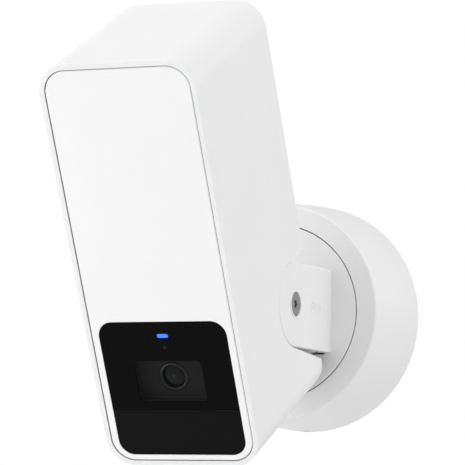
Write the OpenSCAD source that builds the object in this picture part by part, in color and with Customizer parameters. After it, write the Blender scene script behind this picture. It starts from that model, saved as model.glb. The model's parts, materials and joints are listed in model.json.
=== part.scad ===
// Wall-mounted floodlight security camera.
// Row frame: origin at the centre of the base's wall face, +Y into the wall, +Z up, +X to the
// right as seen from the front. Millimetres.

/* [Head] */
// Width of the head
head_w = 93; // [85:1:110]
// Height of the head
head_h = 239; // [220:1:280]
// Depth of the head
head_d = 107.8; // [100:1:130]
// Outer corner radius of the head, seen from the front
head_r = 16.5; // [12:0.5:24]
// Wall thickness of the head housing
head_wall = 2.9; // [2:0.1:4]
// Forward tilt of the head as it is stored
tilt_rest = 27; // [0:1:32]

/* [Camera panel] */
// Width of the black camera panel
cam_w = 77.7; // [70:0.1:80]
// Height of the black camera panel
cam_h = 81.2; // [78:0.1:88]
// Corner radius of the camera panel
cam_r = 9; // [4:0.5:12]
// Height of the camera panel's lower edge above the head's bottom
cam_up = 6.7; // [5:0.1:9]
// Height of the motion sensor's window, the lower part of the camera panel
sensor_h = 28; // [24:0.5:34]
// Height of the lens above the head's bottom
lens_up = 52.5; // [50:0.5:56]
// Width of the recess round the lens
lens_win_w = 40.4; // [36:0.2:46]
// Height of the recess round the lens
lens_win_h = 24.6; // [22:0.2:26]

/* [Hinge] */
// Distance of the hinge's axis behind the head's front
pivot_back = 83.4; // [80:0.2:88]
// Distance of the hinge's axis above the head's bottom
pivot_up = 63.1; // [58:0.5:70]
// Distance from the hinge's axis to the swivel plate
pivot_out = 56.7; // [52:0.5:70]
// Radius of the hinge yoke's round cheeks
yoke_r = 24.4; // [22:0.2:25]
// Offset of the head's middle from the base's axis
head_x = -10.2; // [-16:0.2:0]
// Radius of the hinge pin
pin_r = 6; // [5:0.5:7]

/* [Base] */
// Depth of the base, from the wall to its front face
base_depth = 62.5; // [58:0.5:75]
// Radius of the base's flat front face
base_front_r = 64.8; // [62:0.1:68]
// Largest radius of the base, at the wall
base_back_r = 69; // [68:0.5:76]
// Radius of the swivel plate
plate_r = 51.9; // [48:0.1:53]
// Spacing of the wall screws
wall_screw_gap = 88.9; // [80:0.1:96]

/* [Hidden] */
$fn = 64;
// head frame: x = 0 at the head's middle, y = z = 0 at the hinge's axis, not tilted
front_y = -pivot_back;
back_y = head_d - pivot_back;
bot_z = -pivot_up;
top_z = bot_z + head_h;
mid_z = (bot_z + top_z) / 2;
pivot_y = -(base_depth + pivot_out);
// the notch that the yoke fills: a round seat, a level upper flank and a sloping lower flank
notch_gap = 0.6;
notch_r = yoke_r + notch_gap;
notch_slope = 32;
yoke_half = head_w / 2 + head_x;
notch_left = -yoke_half - notch_gap - head_x;
// front stack, measured back from the front plane
gasket_w = 0.5;
panel_t = 3.4;
panel_w = head_w - 2 * (head_wall + gasket_w);
panel_h = head_h - 2 * (head_wall + gasket_w);
panel_r = head_r - head_wall - gasket_w;
panel_y = front_y + 0.2;
panel_back = panel_y + panel_t;
lip_t = 0.8;
chassis_y = panel_back + lip_t;
chassis_t = 6;
chassis_back = chassis_y + chassis_t;
boss_r = 3.6;
boss_l = 14;
boss_in = head_wall + boss_r - 0.6;
// camera panel
cam_gap = 0.25;
cam_z = bot_z + cam_up + cam_h / 2;
cam_top = bot_z + cam_up + cam_h;
seam_z = bot_z + cam_up + sensor_h;
seam_gap = 0.3;
lens_z = bot_z + lens_up;
win_z = lens_z - 0.65;
lens_r = 8.75;
lens_deep = 5.6;
lens_face_y = panel_y + lens_deep;
status_z = bot_z + 79.3;
status_w = 7;
status_h = 2.5;
dot_z = bot_z + 72;
dot_r = 1.5;
pir_z = bot_z + cam_up + sensor_h / 2;
// floodlight
light_bot = cam_top + 5;
light_top = top_z - head_wall - 8;
light_mid = (light_bot + light_top) / 2;
light_h = light_top - light_bot;
light_w = 76;
tray_d = 15;
led_y = chassis_y + tray_d;
board_t = 1.6;
led_cols = 4;
led_rows = 9;
sink_base = 4;
sink_fin = 12;
sink_y = led_y + board_t;
// lower electronics
main_y = -44;
// hinge
cheek_in = 27.5;
// release slot through the swivel plate, under the yoke's edge, with a slanted tick that marks it
slot_x = 24.4;
slot_w = 8;
slot_low = 1.1;
slot_high = 1.5;
tick_x = 27.4;
tick_w = 0.8;
tick_l = 17;
tick_turn = 23;
lug_half = cheek_in - 0.85;
lug_r = 22;
seat_r = lug_r + 0.4;
run_gap = 0.05;
screw_r = 6.9;
screw_seat_r = 7.2;
collar_r = 8;
collar_h = 0.6;
screw_edge = 0.6;
screw_seat_x = yoke_half - 5;
neck_w = 40;
neck_h = 28;
// base, measured out from the wall
base_wall = 2.6;
edge_r = 1.6;
face_t = 3;
pocket_z = base_depth - 6.8;
floor_t = 2.7;
floor_z = pocket_z - floor_t;
ring_gap = 0.6;
pocket_r = plate_r + ring_gap;
stem_r = 14;
stem_bore_r = 9;
bearing_r = 18;
gasket_t = 2;
steel_t = 2;
rim_inner_r = base_back_r - base_wall - 0.3;
cable_x = 0;
cable_z = -30;
cable_r = 5.5;
slot_r = 2.5;
slot_len = 10;
tab_z = gasket_t + steel_t;
tab_bore_z = 10;
stop_r = 41;
stop_pin_r = 1.5;
swivel_max = 90;
// microphone in the head's bottom
mic_x = 24;
mic_y = -54;
// reset button on the head's back
reset_x = -28;
reset_z = 120;
reset_r = 4;
reset_travel = 1;

// ---------- helpers ----------

// the base's own frame: z is the distance out from the wall
module from_wall() {
  rotate([90, 0, 0]) children();
}

// the yoke's frame: the hinge's axis is X
module at_pivot() {
  translate([0, pivot_y, 0]) children();
}

// the head's frame, tilted forward about the hinge's axis
module in_head() {
  translate([head_x, pivot_y, 0]) rotate([tilt_rest, 0, 0]) children();
}

// rounded rectangle, centred
module round_rect(w, h, r) {
  square([w - 2 * r, h], center = true);
  square([w, h - 2 * r], center = true);
  for (sx = [-1, 1], sz = [-1, 1])
    translate([sx * (w / 2 - r), sz * (h / 2 - r)]) circle(r);
}

// upright slab with rounded corners, from y0 back to y1, centred on x = 0 and z
module slab(w, h, r, y0, y1, z = mid_z) {
  translate([0, y1, z]) rotate([90, 0, 0]) linear_extrude(y1 - y0) round_rect(w, h, r);
}

// box given by its lowest and highest corners
module box(lo, hi) {
  translate(lo) cube(hi - lo);
}

// cylinder along X from x0 to x1
module rod_x(r, x0, x1) {
  translate([x0, 0, 0]) rotate([0, 90, 0]) cylinder(r = r, h = x1 - x0);
}

// cylinder along Y from y0 back to y1
module rod_y(r, y0, y1) {
  translate([0, y1, 0]) rotate([90, 0, 0]) cylinder(r = r, h = y1 - y0);
}

// ring along Z from z0 to z1
module ring_z(ro, ri, z0, z1) {
  translate([0, 0, z0]) difference() {
    cylinder(r = ro, h = z1 - z0);
    translate([0, 0, -1]) cylinder(r = ri, h = z1 - z0 + 2);
  }
}

// cross-recessed screw along Z, its head's underside at z = 0 and its shank below
module screw(head_r, head_t, shank_r, shank_l) {
  difference() {
    union() {
      cylinder(r = head_r, h = head_t);
      translate([0, 0, -shank_l]) cylinder(r = shank_r, h = shank_l);
    }
    for (a = [0, 90])
      rotate([0, 0, a]) translate([0, 0, head_t - 0.4]) cube([head_r * 1.3, 0.7, 1], center = true);
  }
}

// ---------- wall base ----------

// the base's curved side: its radius at the fraction t of the way from the front to the wall
function side_r(t) = base_front_r + (base_back_r - base_front_r) * sin(90 * t);
SIDE_N = 12;
SIDE_TOP = base_depth - edge_r;

module base_profile() {
  outer_edge = [for (a = [0 : 15 : 90])
    [base_front_r - edge_r + edge_r * sin(a), base_depth - edge_r + edge_r * cos(a)]];
  outer_side = [for (i = [1 : SIDE_N]) [side_r(i / SIDE_N), SIDE_TOP * (1 - i / SIDE_N)]];
  inner_side = [for (i = [SIDE_N : -1 : 0])
    [side_r(i / SIDE_N) - base_wall, (base_depth - face_t) * (1 - i / SIDE_N)]];
  step = [
    [pocket_r + base_wall, base_depth - face_t],
    [pocket_r + base_wall, floor_z],
    [bearing_r, floor_z],
    [bearing_r, pocket_z],
    [pocket_r, pocket_z],
    [pocket_r, base_depth]
  ];
  polygon(concat(outer_edge, outer_side, inner_side, step));
}

// places its children at the two cover screws, z pointing out through the base's side
module at_cover_screws() {
  for (s = [1, -1])
    translate([0, s * (side_r(1) - 1.5), tab_bore_z]) rotate([-90 * s, 0, 0]) children();
}

module base_housing() {
  color("white") from_wall() difference() {
    rotate_extrude($fn = 128) base_profile();
    at_cover_screws() translate([0, 0, -8]) cylinder(r = 2.1, h = 12);
    at_cover_screws() cylinder(r = 3.9, h = 4);
    translate([0, -stop_r, floor_z - 1]) cylinder(r = stop_pin_r, h = floor_t + 2);
  }
}

module wall_slots(z0, z1) {
  for (s = [-1, 1]) translate([s * wall_screw_gap / 2, 0, z0]) {
    translate([-slot_len / 2 + slot_r, 0, 0]) cylinder(r = slot_r, h = z1 - z0);
    translate([slot_len / 2 - slot_r, 0, 0]) cylinder(r = slot_r, h = z1 - z0);
    translate([-slot_len / 2 + slot_r, -slot_r, 0]) cube([slot_len - 2 * slot_r, 2 * slot_r, z1 - z0]);
  }
}

module wall_gasket() {
  color("dimgray") from_wall() difference() {
    cylinder(r = rim_inner_r, h = gasket_t);
    wall_slots(-1, gasket_t + 1);
    translate([cable_x, cable_z, -1]) cylinder(r = 8, h = gasket_t + 2);
  }
}

module mounting_plate() {
  tab_out = rim_inner_r - 0.8;
  color("lightgray") from_wall() difference() {
    union() {
      translate([0, 0, gasket_t]) cylinder(r = rim_inner_r, h = steel_t);
      for (s = [-1, 1])
        translate([-8, s > 0 ? tab_out - steel_t : -tab_out, tab_z]) cube([16, steel_t, 11]);
      // raised rib that stiffens the plate
      ring_z(15, 12.5, tab_z, tab_z + 1.5);
    }
    wall_slots(0, tab_z + 1);
    translate([cable_x, cable_z, 0]) cylinder(r = 8, h = 20);
    translate([0, 50, tab_bore_z]) rotate([-90, 0, 0]) cylinder(r = 1.85, h = 20);
    translate([0, -50, tab_bore_z]) rotate([90, 0, 0]) cylinder(r = 1.85, h = 20);
    translate([30, -44, 0]) cylinder(r = 2, h = 20);
  }
}

module base_screws() {
  color("silver") from_wall() at_cover_screws() screw(3.6, 1.3, 1.85, 5.6);
}

module ground_screw() {
  color("goldenrod") from_wall() translate([30, -44, tab_z]) screw(4, 2.4, 2, steel_t);
}

module terminal_block() {
  color("ivory") from_wall() translate([-42, 17, tab_z]) difference() {
    cube([34, 16, 15]);
    for (i = [0 : 2]) {
      translate([6 + 11 * i, -1, 5]) rotate([-90, 0, 0]) cylinder(r = 2, h = 18);
      translate([6 + 11 * i, 8, 7.5]) cylinder(r = 2.6, h = 10);
    }
  }
}

module terminal_screws() {
  color("silver") from_wall() for (i = [0 : 2])
    translate([-36 + 11 * i, 25, tab_z + 12]) screw(2.3, 2, 1.5, 4);
}

module cable_grommet() {
  color("black") from_wall() translate([cable_x, cable_z, 0]) difference() {
    union() {
      cylinder(r = 8, h = tab_z);
      translate([0, 0, tab_z]) cylinder(r = 10.5, h = 2.5);
    }
    translate([0, 0, -1]) cylinder(r = cable_r, h = 12);
  }
}

module swivel_bearing() {
  color("ivory") from_wall() difference() {
    union() {
      translate([0, 0, floor_z - 2.5]) cylinder(r = bearing_r, h = 2.5 + floor_t);
      translate([0, 0, pocket_z]) cylinder(r = 23, h = 1.5);
    }
    cylinder(r = stem_r + run_gap, h = base_depth);
  }
}

module swivel_stop_pin() {
  color("silver") from_wall()
    translate([0, -stop_r, floor_z]) cylinder(r = stop_pin_r, h = floor_t + 3.2);
}

// ---------- swivel arm ----------

module at_plate_screws() {
  for (sx = [-1, 1], sz = [-1, 1]) translate([sx * 25, sz * 14, 0]) children();
}

module swivel_plate() {
  back_z = base_depth - face_t;
  rib_w = 2.5;
  rib_a = swivel_max + asin((rib_w / 2 + stop_pin_r + 0.3) / stop_r);
  color("white") from_wall() difference() {
    union() {
      translate([0, 0, back_z]) cylinder(r = plate_r, h = face_t, $fn = 128);
      ring_z(plate_r, plate_r - 2.5, pocket_z + 0.5, back_z);
      translate([0, 0, pocket_z + 1.8]) cylinder(r = 24, h = back_z - pocket_z - 1.8);
      translate([0, 0, 40]) cylinder(r = stem_r, h = back_z - 40);
      for (s = [-1, 1]) rotate([0, 0, -90 + s * rib_a])
        translate([34, -rib_w / 2, pocket_z + 0.8]) cube([14, rib_w, back_z - pocket_z - 0.8]);
    }
    translate([0, 0, 30]) cylinder(r = stem_bore_r, h = 40);
    at_plate_screws() cylinder(r = 2, h = 80);
    // release slot
    box([slot_x, -yoke_r - slot_low, back_z - 1], [slot_x + slot_w, -yoke_r + slot_high, base_depth + 1]);
  }
}

module disc_spring() {
  color("slategray") from_wall() rotate_extrude()
    polygon([[14.4, floor_z - 3.8], [20.6, floor_z - 6.6], [20.6, floor_z - 5.6], [14.4, floor_z - 2.8]]);
}

module swivel_retainer() {
  color("silver") from_wall() difference() {
    ring_z(21, stem_r, 42, floor_z - 6.7);
    for (a = [0 : 90 : 270]) rotate([0, 0, a]) translate([19, -2, 41]) cube([4, 4, 10]);
  }
}

module hinge_yoke() {
  hollow_x = yoke_half - 5;
  hollow_z = yoke_r - 4.5;
  color("white") at_pivot() difference() {
    union() {
      rod_x(yoke_r, -yoke_half, yoke_half, $fn = 96);
      box([-yoke_half, 0, -yoke_r], [yoke_half, pivot_out, yoke_r]);
      // raised collar round the screw's head
      rod_x(collar_r, yoke_half - 1, yoke_half + collar_h);
    }
    // seat of the head's hinge barrel, open to the front
    rod_x(seat_r, -cheek_in, cheek_in);
    box([-cheek_in, -yoke_r - 1, -yoke_r - 1], [cheek_in, 0, yoke_r + 1]);
    // hinge pin and the screw heads at its ends
    rod_x(pin_r, -yoke_half - 1, yoke_half + 1);
    rod_x(screw_seat_r, screw_seat_x, yoke_half + collar_h + 1);
    rod_x(screw_seat_r, -yoke_half - 1, -screw_seat_x);
    // hollow back with four screw bosses
    difference() {
      box([-hollow_x, seat_r + 4, -hollow_z], [hollow_x, pivot_out + 1, hollow_z]);
      for (sx = [-1, 1], sz = [-1, 1])
        translate([sx * 25, 0, sz * 14]) rod_y(4.5, seat_r, pivot_out);
    }
    for (sx = [-1, 1], sz = [-1, 1])
      translate([sx * 25, 0, sz * 14]) rod_y(2, pivot_out - 14, pivot_out + 1);
    // wire passage
    rod_y(stem_bore_r, 0, pivot_out + 1);
    // tick that marks the release slot
    translate([tick_x, pivot_out, -yoke_r]) rotate([0, 0, tick_turn])
      translate([-tick_w / 2, -tick_l, -1]) cube([tick_w, tick_l + 1, 2.2]);
  }
}

module plate_screws() {
  color("silver") from_wall() at_plate_screws()
    translate([0, 0, base_depth - face_t]) rotate([180, 0, 0]) screw(3.8, 2.2, 2, 15);
}

module pivot_pin() {
  color("silver") at_pivot() rod_x(pin_r, -screw_seat_x, screw_seat_x);
}

// six-lobed socket with a centre post, cut from z = 0 down
module star_socket(r, deep) {
  difference() {
    translate([0, 0, -deep]) union() {
      cylinder(r = r * 0.82, h = deep + 1, $fn = 32);
      for (a = [0 : 60 : 300])
        rotate([0, 0, a]) translate([r * 0.8, 0, 0]) cylinder(r = r * 0.28, h = deep + 1, $fn = 24);
    }
    translate([0, 0, -deep - 1]) cylinder(r = r * 0.3, h = deep + 2, $fn = 24);
  }
}

module pivot_screw() {
  face = yoke_half + 0.1 - screw_seat_x;
  color("gray") at_pivot() translate([screw_seat_x, 0, 0]) rotate([0, 90, 0]) difference() {
    union() {
      cylinder(r = screw_r, h = face - screw_edge);
      translate([0, 0, face - screw_edge]) cylinder(r1 = screw_r, r2 = screw_r - screw_edge, h = screw_edge);
    }
    translate([0, 0, face]) star_socket(2.7, 2.6);
  }
}

module pivot_cap() {
  color("white") at_pivot() rod_x(screw_seat_r, -yoke_half, -screw_seat_x);
}

module friction_washers() {
  color("dimgray") at_pivot() for (s = [-1, 1])
    translate([s * (cheek_in - 0.275), 0, 0]) rotate([0, 90, 0]) difference() {
      cylinder(r = 19, h = 0.55, center = true);
      cylinder(r = pin_r, h = 2, center = true);
    }
}

// ---------- head ----------

// the space that the yoke sweeps, grown by g on every side
module notch(g = 0) {
  r = notch_r + g;
  // the flanks cross the round seat a little inside it, which keeps a clean edge
  flank = r - 0.15;
  far = back_y + 30;
  drop = far * tan(notch_slope);
  x0 = notch_left - g;
  translate([x0, 0, 0]) rotate([90, 0, 90]) linear_extrude(head_w) {
    circle(r, $fn = 96);
    polygon([
      [0, flank],
      [far, flank],
      [far, -flank / cos(notch_slope) - drop],
      [-flank * sin(notch_slope), -flank * cos(notch_slope)],
      [0, 0]
    ]);
  }
}

// places its children at the chassis screws, on the chassis's back
module at_chassis_screws() {
  for (sx = [-1, 1]) {
    translate([sx * 26, chassis_back, bot_z + boss_in]) children();
    translate([sx * (head_w / 2 - boss_in), chassis_back, cam_top + 0.5]) children();
    translate([sx * 26, chassis_back, top_z - boss_in]) children();
  }
}

module head_housing() {
  color("white") in_head() difference() {
    slab(head_w, head_h, head_r, front_y, back_y);
    difference() {
      slab(head_w - 2 * head_wall, head_h - 2 * head_wall, head_r - head_wall,
           front_y - 1, back_y - head_wall);
      notch(head_wall);
      at_chassis_screws() rod_y(boss_r, 0, boss_l);
    }
    at_chassis_screws() rod_y(1.5, -1, boss_l - 2);
    notch();
    // opening for the hinge lug's neck
    translate([-head_x, 0, 0]) box([-neck_w / 2, -40, -neck_h / 2], [neck_w / 2, 0, neck_h / 2]);
    // reset button
    translate([reset_x, 0, reset_z]) rod_y(reset_r + 0.3, back_y - head_wall - 1, back_y + 1);
    // speaker grille and microphone hole, in the bottom
    for (i = [-3 : 3], j = [-1 : 1])
      translate([i * 4, -52 + j * 4, bot_z - 1]) cylinder(r = 0.9, h = head_wall + 2, $fn = 24);
    translate([mic_x, mic_y, bot_z - 1]) cylinder(r = 0.8, h = head_wall + 2, $fn = 24);
  }
}

module front_gasket() {
  color("dimgray") in_head() difference() {
    slab(head_w - 2 * head_wall, head_h - 2 * head_wall, head_r - head_wall,
         panel_y + 0.4, chassis_y);
    slab(panel_w, panel_h, panel_r, front_y - 1, panel_back);
    slab(panel_w - 6, panel_h - 6, panel_r - 3, front_y - 1, chassis_y + 1);
  }
}

module front_diffuser() {
  color("white") in_head() difference() {
    slab(panel_w, panel_h, panel_r, panel_y, panel_back);
    slab(cam_w, cam_h, cam_r, panel_y - 1, panel_back + 1, cam_z);
  }
}

module cam_panel_slab(y0, y1) {
  slab(cam_w - 2 * cam_gap, cam_h - 2 * cam_gap, cam_r - cam_gap, y0, y1, cam_z);
}

module camera_window() {
  color("black") in_head() difference() {
    intersection() {
      cam_panel_slab(panel_y, panel_back);
      box([-cam_w, panel_y - 1, seam_z + seam_gap / 2], [cam_w, panel_back + 1, cam_top]);
    }
    slab(lens_win_w, lens_win_h, 3, panel_y - 1, panel_back + 1, win_z);
    slab(status_w, status_h, status_h / 2 - 0.01, panel_y - 1, panel_back + 1, status_z);
    translate([0, 0, dot_z]) rod_y(dot_r, panel_y - 1, panel_back + 1);
  }
}

module sensor_window() {
  color("#1c1c1e") in_head() intersection() {
    cam_panel_slab(panel_y, panel_back - 1.4);
    box([-cam_w, panel_y - 1, bot_z], [cam_w, panel_back + 1, seam_z - seam_gap / 2]);
  }
}

module status_light() {
  color("#2f7bff") in_head() {
    slab(status_w, status_h, status_h / 2 - 0.01, panel_y, panel_back + 1, status_z);
    slab(status_w - 3, status_h - 1, status_h / 2 - 0.51, panel_back + 1, panel_back + 9, status_z);
  }
}

module light_sensor() {
  color("#303036") in_head() translate([0, 0, dot_z]) rod_y(dot_r, panel_y, panel_back + 2);
}

module lens_bezel() {
  w = lens_win_w + 5;
  h = lens_win_h + 3;
  color("#101012") in_head() difference() {
    slab(w, h, 3, panel_back, lens_face_y + 3, win_z);
    slab(lens_win_w, lens_win_h, 3, panel_back - 1, lens_face_y, win_z);
    translate([0, 0, lens_z]) rod_y(lens_r, panel_back, lens_face_y + 4);
  }
}

module lens_barrel() {
  color("#18181a") in_head() translate([0, 0, lens_z]) difference() {
    union() {
      rod_y(lens_r, lens_face_y - 0.6, lens_face_y + 3);
      rod_y(lens_r - 1, lens_face_y + 3, lens_face_y + 18);
    }
    rod_y(lens_r - 2, lens_face_y - 2, lens_face_y + 5);
    rod_y(3.5, lens_face_y + 4, lens_face_y + 20);
  }
}

module lens_glass() {
  dome_r = 12;
  color("#1d2a26") in_head() translate([0, 0, lens_z]) intersection() {
    rod_y(lens_r - 2, lens_face_y, lens_face_y + 5);
    translate([0, lens_face_y + 0.1 + dome_r, 0]) sphere(r = dome_r, $fn = 96);
  }
}

module image_sensor_board() {
  y = lens_face_y + 18;
  color("darkgreen") in_head() {
    slab(30, 26, 2, y, y + board_t, lens_z);
    translate([0, 0, lens_z]) box([-7, y + board_t, -7], [7, y + board_t + 3, 7]);
  }
}

module motion_lens() {
  lens_y = panel_back - 1.4;
  color("#3a3a40") in_head() difference() {
    slab(56, 17, 3, lens_y, lens_y + 3.2, pir_z);
    slab(52, 13, 2, lens_y + 1.2, lens_y + 5, pir_z);
  }
}

module motion_sensor() {
  color("silver") in_head() translate([0, 0, pir_z]) {
    rod_y(4.1, panel_back + 5, panel_back + 9);
    rod_y(4.7, panel_back + 9, panel_back + 10);
  }
}

module sensor_board() {
  y = panel_back + 10;
  color("darkgreen") in_head() slab(60, 16, 2, y, y + board_t, pir_z);
}

// the frame that carries the front panel, the light and the boards
module chassis() {
  w = head_w - 2 * head_wall;
  h = head_h - 2 * head_wall;
  color("gainsboro") in_head() difference() {
    slab(w, h, head_r - head_wall, chassis_y, chassis_y + chassis_t);
    slab(w - 8, light_h + 2, 6, chassis_y - 1, chassis_y + chassis_t + 1, light_mid);
    slab(70, cam_h - 8, 4, chassis_y - 1, chassis_y + chassis_t + 1, cam_z);
    at_chassis_screws() rod_y(1.5, -chassis_t - 1, 1);
    at_chassis_screws() rod_y(2.7, -chassis_t - 1, -2);
  }
}

module chassis_screws() {
  color("silver") in_head() at_chassis_screws()
    translate([0, -2, 0]) rotate([90, 0, 0]) screw(2.6, 1.6, 1.5, 9);
}

module reflector_tray() {
  color("white") in_head() difference() {
    slab(light_w + 3, light_h, 5, chassis_y, led_y, light_mid);
    slab(light_w, light_h - 3, 4, chassis_y - 1, led_y + 1, light_mid);
  }
}

module led_board() {
  color("whitesmoke") in_head() slab(light_w, light_h - 3.4, 4, led_y, led_y + board_t, light_mid);
}

module led_chips() {
  px = light_w / led_cols;
  pz = (light_h - 6) / led_rows;
  color("lightyellow") in_head() for (i = [0 : led_cols - 1], j = [0 : led_rows - 1])
    translate([(i - (led_cols - 1) / 2) * px, 0, light_mid + (j - (led_rows - 1) / 2) * pz])
      box([-1.75, led_y - 0.8, -1.75], [1.75, led_y, 1.75]);
}

module heat_sink() {
  fins = 9;
  h = light_h - 12;
  color("silver") in_head() {
    slab(light_w - 4, h, 3, sink_y, sink_y + sink_base, light_mid);
    for (i = [0 : fins - 1]) translate([(i - (fins - 1) / 2) * 8.4 - 0.9, 0, 0])
      box([0, sink_y + sink_base, light_mid - h / 2 + 3],
          [1.8, sink_y + sink_base + sink_fin, light_mid + h / 2 - 3]);
  }
}

module main_board() {
  color("darkgreen") in_head() difference() {
    slab(74, 68, 3, main_y, main_y + board_t, bot_z + 50);
    for (sx = [-1, 1], z = [bot_z + 20, bot_z + 80])
      translate([sx * 33, 0, z]) rod_y(1.6, main_y - 1, main_y + board_t + 1);
  }
}

module chip_shields() {
  color("silver") in_head() {
    box([-28, main_y - 3, bot_z + 30], [-4, main_y, bot_z + 54]);
    box([4, main_y - 3, bot_z + 30], [26, main_y, bot_z + 48]);
    box([2, main_y - 2, bot_z + 56], [28, main_y, bot_z + 72]);
  }
}

module wifi_antenna() {
  side = head_w / 2 - head_wall;
  color("goldenrod") in_head() box([-side, -30, 60], [-side + 1, -16, 110]);
}

module power_supply() {
  color("dimgray") in_head() difference() {
    slab(70, 66, 4, -34, 6, 78);
    for (sx = [-1, 1], z = [54, 102]) translate([sx * 28, 0, z]) rod_y(2, -36, -20);
  }
}

module speaker() {
  z0 = bot_z + head_wall;
  color("#202024") in_head() translate([0, -52, 0]) {
    ring_z(17, 13, z0, z0 + 2);
    translate([0, 0, z0 + 2]) cylinder(r = 17, h = 4);
    translate([0, 0, z0 + 6]) cylinder(r = 10, h = 4);
  }
}

module microphone() {
  z0 = bot_z + head_wall;
  color("goldenrod") in_head() translate([mic_x, mic_y, z0]) difference() {
    cylinder(r = 3, h = 2.5);
    translate([0, 0, -1]) cylinder(r = 0.8, h = 2);
  }
}

module at_lug_screws() {
  for (sx = [-1, 1], sz = [-1, 1]) translate([-head_x + sx * 26, -notch_r - head_wall - 0.2, sz * 8])
    children();
}

// the head's half of the hinge: barrel, neck and a flange inside the housing
module hinge_lug() {
  flange_y = -notch_r - head_wall - 0.2;
  color("silver") in_head() difference() {
    translate([-head_x, 0, 0]) difference() {
      union() {
        rod_x(lug_r, -lug_half, lug_half);
        box([-neck_w / 2 + 0.3, flange_y, -neck_h / 2 + 0.3], [neck_w / 2 - 0.3, 0, neck_h / 2 - 0.3]);
        box([-31, flange_y - 3, -13], [31, flange_y, 13]);
      }
      rod_x(pin_r + run_gap, -lug_half - 1, lug_half + 1);
    }
    at_lug_screws() rod_y(2, -4, 1);
  }
}

module lug_screws() {
  color("gray") in_head() at_lug_screws() translate([0, -3, 0]) rotate([90, 0, 0]) screw(3.6, 2, 2, 3);
}

module reset_switch() {
  y = back_y - head_wall - 1 - 5.2 - reset_travel;
  color("black") in_head() translate([reset_x, 0, reset_z]) {
    rod_y(1.7, y - 0.8, y);
    box([-3, y - 4.3, -3], [3, y - 0.8, 3]);
    box([-8, y - 5.9, -6], [8, y - 4.3, 6]);
  }
}

module reset_button() {
  inner = back_y - head_wall;
  color("lightgray") in_head() translate([reset_x, 0, reset_z]) {
    rod_y(reset_r, inner - 0.3, back_y - 0.4);
    rod_y(reset_r + 1.5, inner - 1.3, inner - 0.3);
    rod_y(1.8, inner - 5.9, inner - 1.3);
  }
}

mounting_plate();
wall_gasket();
base_housing();
terminal_block();
terminal_screws();
ground_screw();
cable_grommet();
base_screws();
swivel_bearing();
swivel_stop_pin();
swivel_plate();
disc_spring();
swivel_retainer();
hinge_yoke();
plate_screws();
pivot_pin();
pivot_screw();
pivot_cap();
friction_washers();
head_housing();
front_gasket();
front_diffuser();
camera_window();
sensor_window();
status_light();
light_sensor();
lens_bezel();
lens_barrel();
lens_glass();
image_sensor_board();
motion_lens();
motion_sensor();
sensor_board();
chassis();
chassis_screws();
reflector_tray();
led_board();
led_chips();
heat_sink();
main_board();
chip_shields();
wifi_antenna();
power_supply();
speaker();
microphone();
hinge_lug();
lug_screws();
reset_switch();
reset_button();
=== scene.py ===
import json
import math

import bmesh
import bpy
from mathutils import Matrix, Vector


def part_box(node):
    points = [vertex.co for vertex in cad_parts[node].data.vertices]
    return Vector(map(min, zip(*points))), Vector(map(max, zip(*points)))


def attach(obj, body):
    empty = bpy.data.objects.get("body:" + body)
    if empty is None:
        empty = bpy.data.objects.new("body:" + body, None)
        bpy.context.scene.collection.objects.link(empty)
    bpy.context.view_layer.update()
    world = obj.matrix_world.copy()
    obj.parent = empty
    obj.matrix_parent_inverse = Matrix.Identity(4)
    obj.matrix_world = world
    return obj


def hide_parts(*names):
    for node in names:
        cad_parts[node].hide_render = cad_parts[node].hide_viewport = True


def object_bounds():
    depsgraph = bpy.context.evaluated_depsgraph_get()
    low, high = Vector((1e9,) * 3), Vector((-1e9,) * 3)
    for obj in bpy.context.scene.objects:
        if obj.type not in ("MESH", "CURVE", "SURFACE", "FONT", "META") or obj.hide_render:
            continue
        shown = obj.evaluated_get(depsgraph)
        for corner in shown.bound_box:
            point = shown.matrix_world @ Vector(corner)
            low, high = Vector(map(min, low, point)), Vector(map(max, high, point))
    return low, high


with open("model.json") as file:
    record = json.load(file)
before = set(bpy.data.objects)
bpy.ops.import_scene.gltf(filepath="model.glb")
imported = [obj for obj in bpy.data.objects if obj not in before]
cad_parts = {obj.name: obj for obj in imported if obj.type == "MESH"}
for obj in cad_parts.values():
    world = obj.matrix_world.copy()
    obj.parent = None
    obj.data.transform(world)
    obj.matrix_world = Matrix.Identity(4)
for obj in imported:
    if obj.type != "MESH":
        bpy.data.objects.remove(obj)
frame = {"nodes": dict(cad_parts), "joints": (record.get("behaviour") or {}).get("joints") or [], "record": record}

CAD_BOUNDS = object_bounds()
MM = 0.001
NODES = frame["nodes"]
JOINTS = {j["name"]: j for j in frame["joints"]}


# ---------------------------------------------------------------- frames

# the head's own frame: x = 0 at its middle, y = z = 0 at the hinge's axis, not tilted
PIVOT = Vector(JOINTS["tilt"]["pos_m"])
PRESS = Vector(JOINTS["reset_press"]["axis"])
TILT = math.atan2(-PRESS.z, -PRESS.y)
HEAD_LOW, HEAD_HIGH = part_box("head_housing")
HEAD_X = (HEAD_LOW.x + HEAD_HIGH.x) / 2
HEAD = Matrix.Translation(Vector((HEAD_X, PIVOT.y, PIVOT.z))) @ Matrix.Rotation(TILT, 4, "X")
YOKE = Matrix.Translation(Vector((0, PIVOT.y, PIVOT.z)))
ROW = Matrix.Identity(4)


def local_box(node, matrix):
    """Lowest and highest corners of a CAD node in another frame, in metres."""
    inverse = matrix.inverted()
    points = [inverse @ v.co for v in NODES[node].data.vertices]
    low = Vector([min(p[i] for p in points) for i in range(3)])
    high = Vector([max(p[i] for p in points) for i in range(3)])
    return low, high


def head_box(node):
    return local_box(node, HEAD)


# ---------------------------------------------------------------- mesh helpers

def new_object(name, mesh):
    obj = bpy.data.objects.new(name, mesh)
    bpy.context.scene.collection.objects.link(obj)
    return obj


def mesh_from(name, vertices, faces):
    mesh = bpy.data.meshes.new(name)
    mesh.from_pydata([tuple(v) for v in vertices], [], faces)
    mesh.update()
    return mesh


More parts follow.
